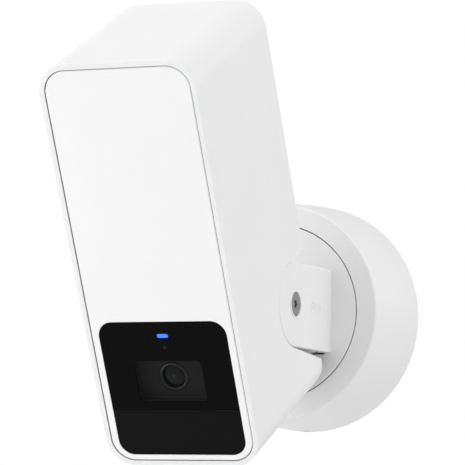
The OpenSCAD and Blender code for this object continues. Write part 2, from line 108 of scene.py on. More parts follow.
def outward(mesh):
    """Turns every face so that its normal points out of the solid."""
    bm = bmesh.new()
    bm.from_mesh(mesh)
    bmesh.ops.remove_doubles(bm, verts=bm.verts, dist=1e-7)
    bmesh.ops.recalc_face_normals(bm, faces=bm.faces)
    bm.to_mesh(mesh)
    bm.free()
    return mesh


def loft(name, loops, caps=True):
    """Skin over closed loops of the same number of points, capped at both ends."""
    count = len(loops[0])
    vertices = [p for loop in loops for p in loop]
    faces = []
    for k in range(len(loops) - 1):
        for i in range(count):
            j = (i + 1) % count
            faces.append((k * count + i, k * count + j, (k + 1) * count + j, (k + 1) * count + i))
    if caps:
        last = (len(loops) - 1) * count
        faces.append(tuple(range(count))[::-1])
        faces.append(tuple(range(last, last + count)))
    return outward(mesh_from(name, vertices, faces))


def round_rect(w, h, r, cx=0.0, cz=0.0, steps=16):
    """Points of a rounded rectangle in x and z, anticlockwise."""
    points = []
    for k, (sx, sz) in enumerate([(1, 1), (-1, 1), (-1, -1), (1, -1)]):
        for i in range(steps + 1):
            a = math.radians(90 * k + 90 * i / steps)
            points.append((cx + sx * (w / 2 - r) + r * math.cos(a), cz + sz * (h / 2 - r) + r * math.sin(a)))
    return points


def slab(name, w, h, r, y0, y1, cz, cx=0.0, front=0.0, back=0.0, steps=16, arc=6):
    """Rounded slab from y0 back to y1, with filleted front and back edges."""
    rings = []
    for i in range(arc + 1 if front else 1):
        a = math.radians(90 * i / arc)
        inset = front * (1 - math.sin(a))
        rings.append((y0 + front * (1 - math.cos(a)), inset))
    for i in range(arc + 1 if back else 1):
        a = math.radians(90 - 90 * i / arc)
        inset = back * (1 - math.sin(a))
        rings.append((y1 - back * (1 - math.cos(a)), inset))
    loops = []
    for y, inset in rings:
        outline = round_rect(w - 2 * inset, h - 2 * inset, max(r - inset, 1e-5), cx, cz, steps)
        loops.append([(x, y, z) for x, z in outline])
    return loft(name, loops)


def prism_x(name, outline, x0, x1):
    """Solid of an outline in y and z between two planes across x."""
    return loft(name, [[(x, y, z) for y, z in outline] for x in (x0, x1)])


def lathe(name, profile, centre=(0, 0, 0), axis="Y", segments=128, closed=True):
    """Turned solid. The profile is (radius, place along the axis); a closed profile is a ring."""
    vertices = []
    faces = []
    count = len(profile)
    for s in range(segments):
        a = 2 * math.pi * s / segments
        for r, t in profile:
            u, v = r * math.cos(a), r * math.sin(a)
            point = {"X": (t, u, v), "Y": (u, t, v), "Z": (u, v, t)}[axis]
            vertices.append(Vector(centre) + Vector(point))
    for s in range(segments):
        n = (s + 1) % segments
        for i in range(count if closed else count - 1):
            j = (i + 1) % count
            faces.append((s * count + i, s * count + j, n * count + j, n * count + i))
    mesh = mesh_from(name, vertices, faces)
    bm = bmesh.new()
    bm.from_mesh(mesh)
    bmesh.ops.remove_doubles(bm, verts=bm.verts, dist=1e-7)
    bmesh.ops.dissolve_degenerate(bm, dist=1e-8, edges=bm.edges)
    bmesh.ops.recalc_face_normals(bm, faces=bm.faces)
    bm.to_mesh(mesh)
    bm.free()
    return mesh


def rod(name, radius, start, end, centre=(0, 0, 0), axis="Y", segments=64):
    """Plain round solid, which cuts a hole."""
    profile = [(0, start), (radius, start), (radius, end), (0, end)]
    return lathe(name, profile, centre, axis, segments, closed=False)


def block(name, low, high):
    """Plain box, which cuts a slot."""
    loops = [[(x, low[1], low[2]), (x, high[1], low[2]), (x, high[1], high[2]), (x, low[1], high[2])]
             for x in (low[0], high[0])]
    return loft(name, loops)


def joined(name, meshes):
    """Several separate solids as one mesh."""
    bm = bmesh.new()
    for mesh in meshes:
        bm.from_mesh(mesh)
    result = bpy.data.meshes.new(name)
    bm.to_mesh(result)
    bm.free()
    return result


def fillet(cx, cy, r, start, end, steps=6):
    """Points of an arc, in degrees, for a turned profile."""
    out = []
    for i in range(steps + 1):
        a = math.radians(start + (end - start) * i / steps)
        out.append((cx + r * math.cos(a), cy + r * math.sin(a)))
    return out


def evaluated_mesh(obj):
    depsgraph = bpy.context.evaluated_depsgraph_get()
    depsgraph.update()
    return bpy.data.meshes.new_from_object(obj.evaluated_get(depsgraph), depsgraph=depsgraph)


def cut(mesh, *cutters, operation="DIFFERENCE"):
    """The mesh with each cutter taken away from it, or joined to it."""
    obj = new_object("cutting", mesh)
    tools = []
    for k, cutter in enumerate(cutters):
        tool = new_object("cutter%d" % k, cutter)
        tools.append(tool)
        modifier = obj.modifiers.new("cut%d" % k, "BOOLEAN")
        modifier.operation = operation
        modifier.solver = "EXACT"
        modifier.object = tool
    bpy.context.view_layer.update()
    result = evaluated_mesh(obj)
    for o in [obj] + tools:
        bpy.data.objects.remove(o)
    return result


def bevel(mesh, width, segments=4, least=30.0, keep=None, concave=False):
    """Rounds the edges that bend by at least so many degrees. keep(edge) can turn an edge down."""
    bm = bmesh.new()
    bm.from_mesh(mesh)
    bmesh.ops.remove_doubles(bm, verts=bm.verts, dist=2e-7)
    bmesh.ops.dissolve_limit(bm, angle_limit=math.radians(0.2), verts=bm.verts, edges=bm.edges)
    chosen = []
    for edge in bm.edges:
        if len(edge.link_faces) != 2:
            continue
        angle = math.degrees(edge.calc_face_angle_signed())
        if abs(angle) < least or (angle < 0 and not concave):
            continue
        if keep is None or keep(edge):
            chosen.append(edge)
    bmesh.ops.bevel(bm, geom=chosen, offset=width, offset_type="OFFSET", segments=segments, profile=0.5,
                    affect="EDGES", clamp_overlap=True, miter_outer="SHARP", loop_slide=True)
    bmesh.ops.remove_doubles(bm, verts=bm.verts, dist=1e-7)
    bmesh.ops.dissolve_degenerate(bm, dist=1e-8, edges=bm.edges)
    bm.to_mesh(mesh)
    bm.free()
    return mesh


def shade(mesh, angle=32.0):
    mesh.shade_smooth()
    mesh.set_sharp_from_angle(angle=math.radians(angle))
    return mesh


def piece(name, mesh, material, body, replaces=(), matrix=ROW, weighted=True):
    """A finished visible piece: placed, shaded, painted and riding on its body."""
    mesh.transform(matrix)
    mesh.materials.clear()
    mesh.materials.append(material)
    shade(mesh)
    obj = new_object(name, mesh)
    if weighted:
        modifier = obj.modifiers.new("normals", "WEIGHTED_NORMAL")
        modifier.keep_sharp = True
    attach(obj, body)
    if replaces:
        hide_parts(*replaces)
    return obj


# ---------------------------------------------------------------- materials

def node_tree(name):
    material = bpy.data.materials.new(name)
    material.use_nodes = True
    tree = material.node_tree
    shader = tree.nodes["Principled BSDF"]
    return material, tree, shader


def object_noise(tree, scale, detail=2.0, stretch=(1, 1, 1)):
    coordinates = tree.nodes.new("ShaderNodeTexCoord")
    mapping = tree.nodes.new("ShaderNodeMapping")
    mapping.inputs["Scale"].default_value = stretch
    noise = tree.nodes.new("ShaderNodeTexNoise")
    noise.inputs["Scale"].default_value = scale
    noise.inputs["Detail"].default_value = detail
    tree.links.new(coordinates.outputs["Object"], mapping.inputs["Vector"])
    tree.links.new(mapping.outputs["Vector"], noise.inputs["Vector"])
    return noise


def ramp(tree, source, low, high, at=(0.3, 0.7)):
    node = tree.nodes.new("ShaderNodeValToRGB")
    node.color_ramp.elements[0].position = at[0]
    node.color_ramp.elements[1].position = at[1]
    node.color_ramp.elements[0].color = low if len(low) == 4 else (*low, 1)
    node.color_ramp.elements[1].color = high if len(high) == 4 else (*high, 1)
    tree.links.new(source, node.inputs["Fac"])
    return node


def finish_material(name, colour, roughness, spread=0.03, shift=0.02, grain=1800.0, bump=0.04, metallic=0.0,
                    coat=0.0, specular=0.5, stretch=(1, 1, 1), patch=35.0, bump_distance=0.0002, painted_glow=0.0):
    """Moulded, painted or metal finish: slow colour and gloss drift, and a fine grain.

    The glow argument is painted light: an even white emission that brightens a dark surface as though more light
    fell on it.
    """
    material, tree, shader = node_tree(name)
    slow = object_noise(tree, patch, 3.0)
    darker = tuple(max(c * (1 - shift), 0) for c in colour)
    lighter = tuple(min(c * (1 + shift), 1) for c in colour)
    tint = ramp(tree, slow.outputs["Fac"], darker, lighter)
    tree.links.new(tint.outputs["Color"], shader.inputs["Base Color"])
    fine = object_noise(tree, grain, 2.0, stretch)
    low, high = max(roughness - spread, 0.02), min(roughness + spread, 1.0)
    gloss = ramp(tree, fine.outputs["Fac"], (low, low, low), (high, high, high))
    tree.links.new(gloss.outputs["Color"], shader.inputs["Roughness"])
    relief = tree.nodes.new("ShaderNodeBump")
    relief.inputs["Strength"].default_value = bump
    relief.inputs["Distance"].default_value = bump_distance
    tree.links.new(fine.outputs["Fac"], relief.inputs["Height"])
    tree.links.new(relief.outputs["Normal"], shader.inputs["Normal"])
    shader.inputs["Metallic"].default_value = metallic
    shader.inputs["Coat Weight"].default_value = coat
    shader.inputs["Coat Roughness"].default_value = 0.06
    shader.inputs["Specular IOR Level"].default_value = specular
    # painted light: the surface gives off a faint white glow of its own
    if painted_glow:
        shader.inputs["Emission Color"].default_value = (1, 1, 1, 1)
        shader.inputs["Emission Strength"].default_value = painted_glow
    return material


def lit_material(name, colour, strength):
    """A light guide that glows its colour, its tone drifting at random."""
    material, tree, shader = node_tree(name)
    noise = object_noise(tree, 900.0, 1.0)
    tint = ramp(tree, noise.outputs["Fac"], tuple(c * 0.85 for c in colour), colour)
    tree.links.new(tint.outputs["Color"], shader.inputs["Base Color"])
    tree.links.new(tint.outputs["Color"], shader.inputs["Emission Color"])
    shader.inputs["Emission Strength"].default_value = strength
    shader.inputs["Roughness"].default_value = 0.25
    return material


WHITE = (0.86, 0.86, 0.865)
MATERIALS = {
    "white_shell": finish_material("moulded_white", WHITE, 0.46, bump=0.05, shift=0.006),
    "white_hinge": finish_material("hinge_white", (0.85, 0.85, 0.855), 0.44, bump=0.06, shift=0.006,
                                   grain=1400.0),
    "diffuser_white": finish_material("frosted_diffuser", (0.91, 0.91, 0.912), 0.38, bump=0.03, shift=0.004),
    "tray_white": finish_material("reflector_white", (0.92, 0.92, 0.91), 0.6, shift=0.01),
    "gloss_black": finish_material("camera_black", (0.004, 0.004, 0.0044), 0.14, spread=0.01, bump=0.008,
                                   specular=0.03),
    "sensor_black": finish_material("sensor_black", (0.0055, 0.0055, 0.006), 0.24, spread=0.02, bump=0.02,
                                    specular=0.05),
    # the lens tray and the lens ring get a faint painted glow, painted light that lifts their shade
    "lens_black": finish_material("lens_black", (0.0125, 0.0125, 0.0132), 0.5, bump=0.05, specular=0.03,
                                  painted_glow=0.0045),
    "lens_ring": finish_material("lens_ring_black", (0.012, 0.0125, 0.0125), 0.36, bump=0.02, specular=0.25,
                                 painted_glow=0.003),
    "dark_dot": finish_material("light_sensor_dark", (0.012, 0.014, 0.016), 0.25, bump=0.01, specular=0.08),
    "status_blue": lit_material("status_blue", (0.02, 0.12, 1.0), 1.6),
    "seal_grey": finish_material("seal_grey", (0.16, 0.16, 0.165), 0.75, bump=0.2),
    "rubber_black": finish_material("rubber_black", (0.02, 0.02, 0.02), 0.8, bump=0.25),
    "pearl_plastic": finish_material("sensor_lens", (0.22, 0.22, 0.24), 0.5),
    "board_green": finish_material("board_green", (0.02, 0.14, 0.06), 0.35, shift=0.15, patch=400.0),
    "board_white": finish_material("board_white", (0.86, 0.86, 0.84), 0.4, shift=0.02, patch=300.0),
    "led_yellow": finish_material("led_yellow", (0.9, 0.72, 0.2), 0.45, shift=0.08, patch=900.0),
    "grey_plastic": finish_material("grey_plastic", (0.62, 0.62, 0.63), 0.5, bump=0.12, shift=0.02),
    "black_plastic": finish_material("black_plastic", (0.03, 0.03, 0.032), 0.5, bump=0.15),
    "ivory_plastic": finish_material("ivory_plastic", (0.78, 0.75, 0.64), 0.45, shift=0.03),
    "steel": finish_material("zinc_steel", (0.6, 0.6, 0.61), 0.32, metallic=1.0, stretch=(1, 1, 12),
                             grain=500.0),
    "dark_steel": finish_material("screw_steel", (0.3, 0.3, 0.305), 0.42, metallic=0.6, grain=900.0,
                                  bump=0.1),
    "brass": finish_material("brass", (0.72, 0.53, 0.2), 0.3, metallic=1.0, grain=600.0),
    "aluminium": finish_material("cast_aluminium", (0.7, 0.71, 0.72), 0.45, metallic=1.0, bump=0.3,
                                 grain=900.0),
}


def lens_material():
    """Coated front element: green cast, a faint purple ring, and a pale pinkish middle that is a painted
    reflection of a lamp.
    """
    material, tree, shader = node_tree("coated_lens_painted_reflection")
    low, high = head_box("lens_glass")
    middle = HEAD @ Vector(((low.x + high.x) / 2, low.y, (low.z + high.z) / 2))
    coordinates = tree.nodes.new("ShaderNodeTexCoord")
    distance = tree.nodes.new("ShaderNodeVectorMath")
    distance.operation = "DISTANCE"
    distance.inputs[1].default_value = middle
    tree.links.new(coordinates.outputs["Object"], distance.inputs[0])
    highlight_reach = tree.nodes.new("ShaderNodeMapRange")
    highlight_reach.inputs["From Max"].default_value = 7 * MM
    tree.links.new(distance.outputs["Value"], highlight_reach.inputs["Value"])
    # painted reflection: pale pinkish at the middle, fading to the dark green glass within 7 mm
    tint = ramp(tree, highlight_reach.outputs["Result"], (0.045, 0.027, 0.03), (0.006, 0.009, 0.0085), at=(0.08, 1.0))
    stops = ((0.2, (0.009, 0.013, 0.012)),
             (0.38, (0.013, 0.0115, 0.015)),
             (0.5, (0.0085, 0.0135, 0.012)))
    for place, colour in stops:
        stop = tint.color_ramp.elements.new(place)
        stop.color = (*colour, 1)
    tree.links.new(tint.outputs["Color"], shader.inputs["Base Color"])
    shader.inputs["Roughness"].default_value = 0.08
    shader.inputs["Specular IOR Level"].default_value = 0.08
    return material


MATERIALS["lens_glass"] = lens_material()


def paint_cad():
    """Every CAD node that stays gets the material of its record slot."""
    slots = {s["node"]: s["material_slot"] for s in frame["record"]["subparts"]}
    for name, obj in NODES.items():
        obj.data.materials.clear()
        obj.data.materials.append(MATERIALS[slots[name]])


# ---------------------------------------------------------------- head

def notch_outline(radius, slope, far, corner):
    """The hinge notch seen from the side, in y and z: round seat, level top, sloping bottom."""
    points = []
    for i in range(49):
        a = math.radians(90 + (180 - slope) * i / 48)
        points.append((radius * math.cos(a), radius * math.sin(a)))
    y, z = points[-1]
    points.append((far, z - (far - y) * math.tan(math.radians(slope))))
    back = head_box("head_housing")[1].y
    points.append((far, radius + corner))
    points.append((back, radius + corner))
    for i in range(9):
        a = math.radians(0 - 90 * i / 8)
        points.append((back - corner + corner * math.cos(a), radius + corner + corner * math.sin(a)))
    return points


NOTCH_GAP = 0.6 * MM
NOTCH_SLOPE = 32.0
NOTCH_CORNER = 5.0 * MM
WALL = 2.9 * MM
HEAD_R = 16.5 * MM
NECK_W = 40 * MM
NECK_H = 28 * MM
BUTTON_GAP = 0.3 * MM
GRILLE_R = 0.9 * MM
GRILLE_STEP = 4 * MM


def build_head_housing():
    low, high = head_box("head_housing")
    yoke_low, yoke_high = local_box("hinge_yoke", YOKE)
    w, h = high.x - low.x, high.z - low.z
    cz = (low.z + high.z) / 2
    seat = yoke_high.z + NOTCH_GAP
    left = yoke_low.x - NOTCH_GAP - HEAD_X
    shell = slab("head_housing_shell", w, h, HEAD_R, low.y, high.y, cz, steps=20)
    outline = notch_outline(seat, NOTCH_SLOPE, high.y + 0.03, NOTCH_CORNER)
    notch = prism_x("notch", outline, left, high.x + 0.01)
    shell = cut(shell, notch)
    shell = bevel(shell, 1.1 * MM, 4)
    inner_notch = prism_x("inner_notch", notch_outline(seat + WALL, NOTCH_SLOPE, high.y + 0.03, NOTCH_CORNER),
                          left - WALL, high.x + 0.02)
    cavity = slab("cavity", w - 2 * WALL, h - 2 * WALL, HEAD_R - WALL, low.y - 0.01, high.y - WALL, cz)
    cavity = cut(cavity, inner_notch)
    neck = slab("neck_opening", NECK_W, NECK_H, 1 * MM, -0.04, 0, 0, cx=-HEAD_X, steps=4)
    button_low, button_high = head_box("reset_button")
    middle = (button_low + button_high) / 2
    flange = 1.5 * MM
    button_r = (button_high.x - button_low.x) / 2 - flange + BUTTON_GAP
    button_hole = rod("button_hole", button_r, high.y - 0.006, high.y + 0.002,
                      (middle.x, 0, middle.z), "Y", 48)
    speaker_low, speaker_high = head_box("speaker")
    speaker = (speaker_low + speaker_high) / 2
    mic_low, mic_high = head_box("microphone")
    mic = (mic_low + mic_high) / 2
    spots = [(speaker.x + i * GRILLE_STEP, speaker.y + j * GRILLE_STEP, GRILLE_R)
             for i in range(-3, 4) for j in (-1, 0, 1)]
    spots.append((mic.x, mic.y, 0.8 * MM))
    holes = [rod("sound_hole", r, low.z - 0.001, low.z + WALL + 0.001, (x, y, 0), "Z", 20)
             for x, y, r in spots]
    shell = cut(shell, cavity, neck, button_hole, joined("sound_holes", holes))
    return piece("head_housing_shell", shell, MATERIALS["white_shell"], "head",
                 ["head_housing"], HEAD)


CAM_R = 9 * MM
CAM_GAP = 0.25 * MM
SHADOW_GAP = 0.08 * MM


def build_front_panel():
    low, high = head_box("front_diffuser")
    cam_low, cam_high = head_box("camera_window")
    sensor_low = head_box("sensor_window")[0]
    w, h = high.x - low.x, high.z - low.z
    cam_w = cam_high.x - cam_low.x + 2 * CAM_GAP
    cam_h = cam_high.z - sensor_low.z + 2 * CAM_GAP
    cam_z = (cam_high.z + sensor_low.z) / 2
    body = slab("front_diffuser_panel", w, h, 13.1 * MM, low.y, high.y, (low.z + high.z) / 2,
                front=0.7 * MM, steps=20)
    opening = slab("opening", cam_w, cam_h, CAM_R, low.y - 0.005, high.y + 0.005, cam_z)
    body = cut(body, opening)
    body = bevel(body, 0.25 * MM, 3, 60, keep=lambda e: all(abs(v.co.y - low.y) < 1e-5 for v in e.verts))
    return piece("front_diffuser_panel", body, MATERIALS["diffuser_white"], "head",
                 ["front_diffuser"], HEAD)


# the lens tray's rim round its window, and the lining that comes forward into the camera panel
TRAY_RIM_W = 5 * MM
TRAY_RIM_H = 3 * MM
WINDOW_R = 3 * MM
LINING = 0.2 * MM
LINING_REACH = 2.7 * MM


def build_camera_glass():
    cam_low, cam_high = head_box("camera_window")
    sensor_low, sensor_high = head_box("sensor_window")
    bezel_low, bezel_high = head_box("lens_bezel")
    light_low, light_high = head_box("status_light")
    dot_low, dot_high = head_box("light_sensor")
    w = cam_high.x - cam_low.x + 2 * (CAM_GAP - SHADOW_GAP)
    h = cam_high.z - sensor_low.z + 2 * (CAM_GAP - SHADOW_GAP)
    cz = (cam_high.z + sensor_low.z) / 2
    r = CAM_R - SHADOW_GAP
    whole = slab("camera_glass", w, h, r, cam_low.y, cam_high.y, cz, front=0.0, steps=20)
    below = slab("below", w * 2, 0.2, 1e-4, cam_low.y - 0.01, cam_high.y + 0.01, cam_low.z - 0.1, steps=1)
    win_w = bezel_high.x - bezel_low.x - TRAY_RIM_W
    win_h = bezel_high.z - bezel_low.z - TRAY_RIM_H
    win_z = (bezel_low.z + bezel_high.z) / 2
    window = slab("window", win_w + 2 * LINING, win_h + 2 * LINING, WINDOW_R + LINING,
                  cam_low.y - 0.01, cam_high.y + 0.01, win_z, steps=8)
    lw, lh = light_high.x - light_low.x, light_high.z - light_low.z
    lamp = slab("lamp", lw, lh, lh / 2 - 1e-6, cam_low.y - 0.01, cam_high.y + 0.01,
                (light_low.z + light_high.z) / 2, steps=8)
    dr = (dot_high.x - dot_low.x) / 2
    dot = slab("dot", 2 * dr, 2 * dr, dr - 1e-6, cam_low.y - 0.01, cam_high.y + 0.01,
               (dot_low.z + dot_high.z) / 2, steps=8)
    glass = cut(whole, below, window, lamp, dot)
    glass = bevel(glass, 0.3 * MM, 3, 60, keep=lambda e: all(abs(v.co.y - cam_low.y) < 1e-5 for v in e.verts))
    piece("camera_glass", glass, MATERIALS["gloss_black"], "head", ["camera_window"], HEAD)

    whole = slab("sensor_glass", w, h, r, sensor_low.y, sensor_high.y, cz, steps=20)
    above = slab("above", w * 2, 0.2, 1e-4, cam_low.y - 0.01, cam_high.y + 0.01, sensor_high.z + 0.1, steps=1)
    lower = cut(whole, above)
    lower = bevel(lower, 0.3 * MM, 3, 60,
                  keep=lambda e: all(abs(v.co.y - sensor_low.y) < 1e-5 for v in e.verts))
    piece("sensor_glass", lower, MATERIALS["sensor_black"], "head", ["sensor_window"], HEAD)


def build_status_light():
    low, high = head_box("status_light")
    lw, lh = high.x - low.x, high.z - low.z
    cz = (low.z + high.z) / 2
    lamp = slab("status_light_guide", lw, lh, lh / 2 - 1e-5, low.y + 0.1 * MM, high.y, cz,
                front=0.5 * MM, steps=10)
    piece("status_light_guide", lamp, MATERIALS["status_blue"], "head", ["status_light"], HEAD)
    low, high = head_box("light_sensor")
    r = (high.x - low.x) / 2
    cz = (low.z + high.z) / 2
    y = low.y + 0.15 * MM
    profile = [(0, high.y), (r, high.y), (r, y + 0.5 * MM)]
    profile += [(r * math.cos(math.radians(a)), y + 0.5 * MM * (1 - math.sin(math.radians(a))))
                for a in range(15, 91, 15)]
    dome = lathe("light_sensor_dome", profile, (0, 0, cz), "Y", 32, closed=False)
    piece("light_sensor_dome", dome, MATERIALS["dark_dot"], "head", ["light_sensor"], HEAD)


def build_lens():
    bezel_low, bezel_high = head_box("lens_bezel")
    barrel_low, barrel_high = head_box("lens_barrel")
    glass_low, glass_high = head_box("lens_glass")
    cz = (glass_low.z + glass_high.z) / 2
    w, h = bezel_high.x - bezel_low.x, bezel_high.z - bezel_low.z
    ring = (barrel_high.x - barrel_low.x) / 2
    win_z = (bezel_low.z + bezel_high.z) / 2
    tray = slab("lens_tray", w, h, WINDOW_R, bezel_low.y, bezel_high.y, win_z, steps=8)
    lining = slab("lining", w - TRAY_RIM_W + 1.9 * LINING, h - TRAY_RIM_H + 1.9 * LINING, WINDOW_R + LINING,
                  bezel_low.y - LINING_REACH, bezel_low.y + 0.5 * MM, win_z, steps=8)
    tray = cut(tray, lining, operation="UNION")
    floor_y = bezel_high.y - 3 * MM
    well = slab("well", w - TRAY_RIM_W, h - TRAY_RIM_H, WINDOW_R, bezel_low.y - 0.005, floor_y, win_z,
                back=1.2 * MM, steps=8)
    hole = rod("hole", ring + 0.05 * MM, floor_y - 0.01, bezel_high.y + 0.01, (0, 0, cz))
    tray = cut(tray, well, hole)
    piece("lens_tray", tray, MATERIALS["lens_black"], "head", ["lens_bezel"], HEAD)
    y0 = barrel_low.y
    profile = [(ring - 2.0 * MM, y0 + 1.6 * MM), (ring - 1.7 * MM, y0 + 0.3 * MM)]
    profile += fillet(ring - 1.4 * MM, y0 + 0.3 * MM, 0.3 * MM, 200, 270, 4)
    profile += fillet(ring - 1.3 * MM, y0 + 1.3 * MM, 1.3 * MM, 270, 360, 9)
    profile += [(ring, y0 + 3.6 * MM), (ring - 1 * MM, y0 + 3.6 * MM), (ring - 1 * MM, barrel_high.y),
                (3.5 * MM, barrel_high.y), (3.5 * MM, y0 + 7 * MM), (ring - 2.0 * MM, y0 + 5 * MM)]
    barrel = lathe("lens_ring", profile, (0, 0, cz), "Y", 96)
    piece("lens_ring", barrel, MATERIALS["lens_ring"], "head", ["lens_barrel"], HEAD)
    gr = (glass_high.x - glass_low.x) / 2 - 0.02 * MM
    dome_r = 22 * MM
    y0 = glass_low.y
    profile = [(0, glass_high.y), (gr, glass_high.y)]
    top = math.asin(gr / dome_r)
    turns = [top * (1 - i / 10) for i in range(11)]
    profile += [(dome_r * math.sin(a), y0 + dome_r * (1 - math.cos(a))) for a in turns]
    glass = lathe("lens_front_element", profile, (0, 0, cz), "Y", 96, closed=False)
    piece("lens_front_element", glass, MATERIALS["lens_glass"], "head", ["lens_glass"], HEAD)


# ---------------------------------------------------------------- hinge and base

SCREW_WELL = 7.2 * MM
COLLAR_R = 8 * MM
COLLAR_H = 0.6 * MM
SLOT_X = 24.4 * MM
SLOT_W = 8 * MM
SLOT_LOW = 1.1 * MM
SLOT_HIGH = 1.5 * MM
TICK_X = 27.4 * MM
TICK_TURN = 23
CHEEK = 27.5 * MM
LUG_SEAT = 22.4 * MM


def slot_tick(back, bottom):
    """Cutter of the slanted tick on the yoke's underside that marks the release slot."""
    mesh = block("slot_tick", (-0.4 * MM, -17 * MM, -1 * MM), (0.4 * MM, 1 * MM, 1.2 * MM))
    turn = Matrix.Rotation(math.radians(TICK_TURN), 4, "Z")
    mesh.transform(Matrix.Translation((TICK_X, back, bottom)) @ turn)
    return mesh


def index_mark(face_x):
    """Cutters of the engraved tilt index on the cheek: a ring with a dot, and three ticks."""
    deep = 0.3 * MM
    ring = [(2.6 * MM, face_x - deep), (3.2 * MM, face_x - deep),
            (3.2 * MM, face_x + deep), (2.6 * MM, face_x + deep)]
    parts = [lathe("mark_ring", ring, (0, 27 * MM, 0), "X", 48),
             rod("mark_dot", 0.7 * MM, face_x - deep, face_x + deep, (0, 27 * MM, 0), "X", 24)]
    for y, half in ((33 * MM, 3.2 * MM), (36 * MM, 2.0 * MM), (39 * MM, 2.0 * MM)):
        parts.append(block("mark_tick", (face_x - deep, y - 0.3 * MM, -half),
                           (face_x + deep, y + 0.3 * MM, half)))
    return joined("index_mark", parts)


def build_yoke():
    low, high = local_box("hinge_yoke", YOKE)
    radius = high.z
    outline = [(radius * math.cos(math.radians(a)), radius * math.sin(math.radians(a))) for a in
               [90 + 180 * i / 64 for i in range(65)]]
    outline += [(high.y, -radius), (high.y, radius)]
    face = -low.x
    block_mesh = prism_x("hinge_yoke_block", outline, low.x, face)
    seat_outline = [(LUG_SEAT * math.cos(math.radians(a)), LUG_SEAT * math.sin(math.radians(a))) for a in
                    [-90 + 180 * i / 48 for i in range(49)]]
    seat_outline += [(0, 0.04), (-0.04, 0.04), (-0.04, -0.04), (0, -0.04)]
    pocket = prism_x("pocket", seat_outline, -CHEEK, CHEEK)
    block_mesh = cut(block_mesh, pocket)
    block_mesh = bevel(block_mesh, 0.9 * MM, 4,
                       keep=lambda e: not all(abs(v.co.y - high.y) < 1e-5 for v in e.verts))
    screw_low = local_box("pivot_screw", YOKE)[0]
    collar = [(SCREW_WELL - 1 * MM, face - 1 * MM), (COLLAR_R, face - 1 * MM)]
    collar += fillet(COLLAR_R - 0.4 * MM, face + COLLAR_H - 0.4 * MM, 0.4 * MM, 0, 90, 4)
    collar += [(SCREW_WELL - 1 * MM, face + COLLAR_H)]
    block_mesh = cut(block_mesh, lathe("collar", collar, (0, 0, 0), "X", 96), operation="UNION")
    outside = high.x + 0.001
    cuts = [rod("screw_well", SCREW_WELL, screw_low.x, outside, axis="X"),
            rod("screw_well", SCREW_WELL, -outside, -screw_low.x, axis="X"),
            rod("pin_hole", 6 * MM, -outside, outside, axis="X"),
            slab("hollow", face * 2 - 10 * MM, 2 * radius - 9 * MM, 2 * MM, LUG_SEAT + 4 * MM,
                 high.y + 0.01, 0, steps=4),
            slot_tick(high.y, -radius),
            index_mark(face)]
    block_mesh = cut(block_mesh, *cuts)
    piece("hinge_yoke_block", block_mesh, MATERIALS["white_hinge"], "arm",
          ["hinge_yoke"], YOKE)


def star_outline(r, lobes=6, steps=12):
    """A six-lobed socket, in two coordinates."""
    points = []
    for i in range(lobes * steps):
        a = 2 * math.pi * i / (lobes * steps)
        points.append(((r * (0.86 + 0.14 * math.cos(lobes * a))) * math.cos(a),
                       (r * (0.86 + 0.14 * math.cos(lobes * a))) * math.sin(a)))
    return points


STAR_R = 2.8 * MM


def build_pivot_screw():
    low, high = local_box("pivot_screw", YOKE)
    r = (high.z - low.z) / 2
    edge = 0.6 * MM
    head = [(0, low.x), (r, low.x)] + fillet(r - edge, high.x - edge, edge, 0, 90, 5)
    head += [(0, high.x)]
    screw = lathe("pivot_screw_head", head, (0, 0, 0), "X", 96, closed=False)
    socket = prism_x("socket", star_outline(STAR_R), high.x - 2.6 * MM, high.x + 0.001)
    screw = cut(screw, socket)
    tip = high.x - 0.6 * MM
    foot = high.x - 2.8 * MM
    post = [(0, foot), (0.8 * MM, foot), (0.8 * MM, tip - 0.3 * MM), (0.55 * MM, tip), (0, tip)]
    post = lathe("post", post, (0, 0, 0), "X", 32, closed=False)
    screw = cut(screw, post, operation="UNION")
    screw = bevel(screw, 0.15 * MM, 2, 50)
    piece("pivot_screw_head", screw, MATERIALS["dark_steel"], "arm", ["pivot_screw"], YOKE)


FACE_R = 64.8 * MM
EDGE_R = 1.4 * MM
BASE_WALL = 2.6 * MM


def side_radius(t, back):
    """Radius of the base's curved side at the fraction t from the front to the wall."""
    return FACE_R + (back - FACE_R) * math.sin(math.pi / 2 * t)


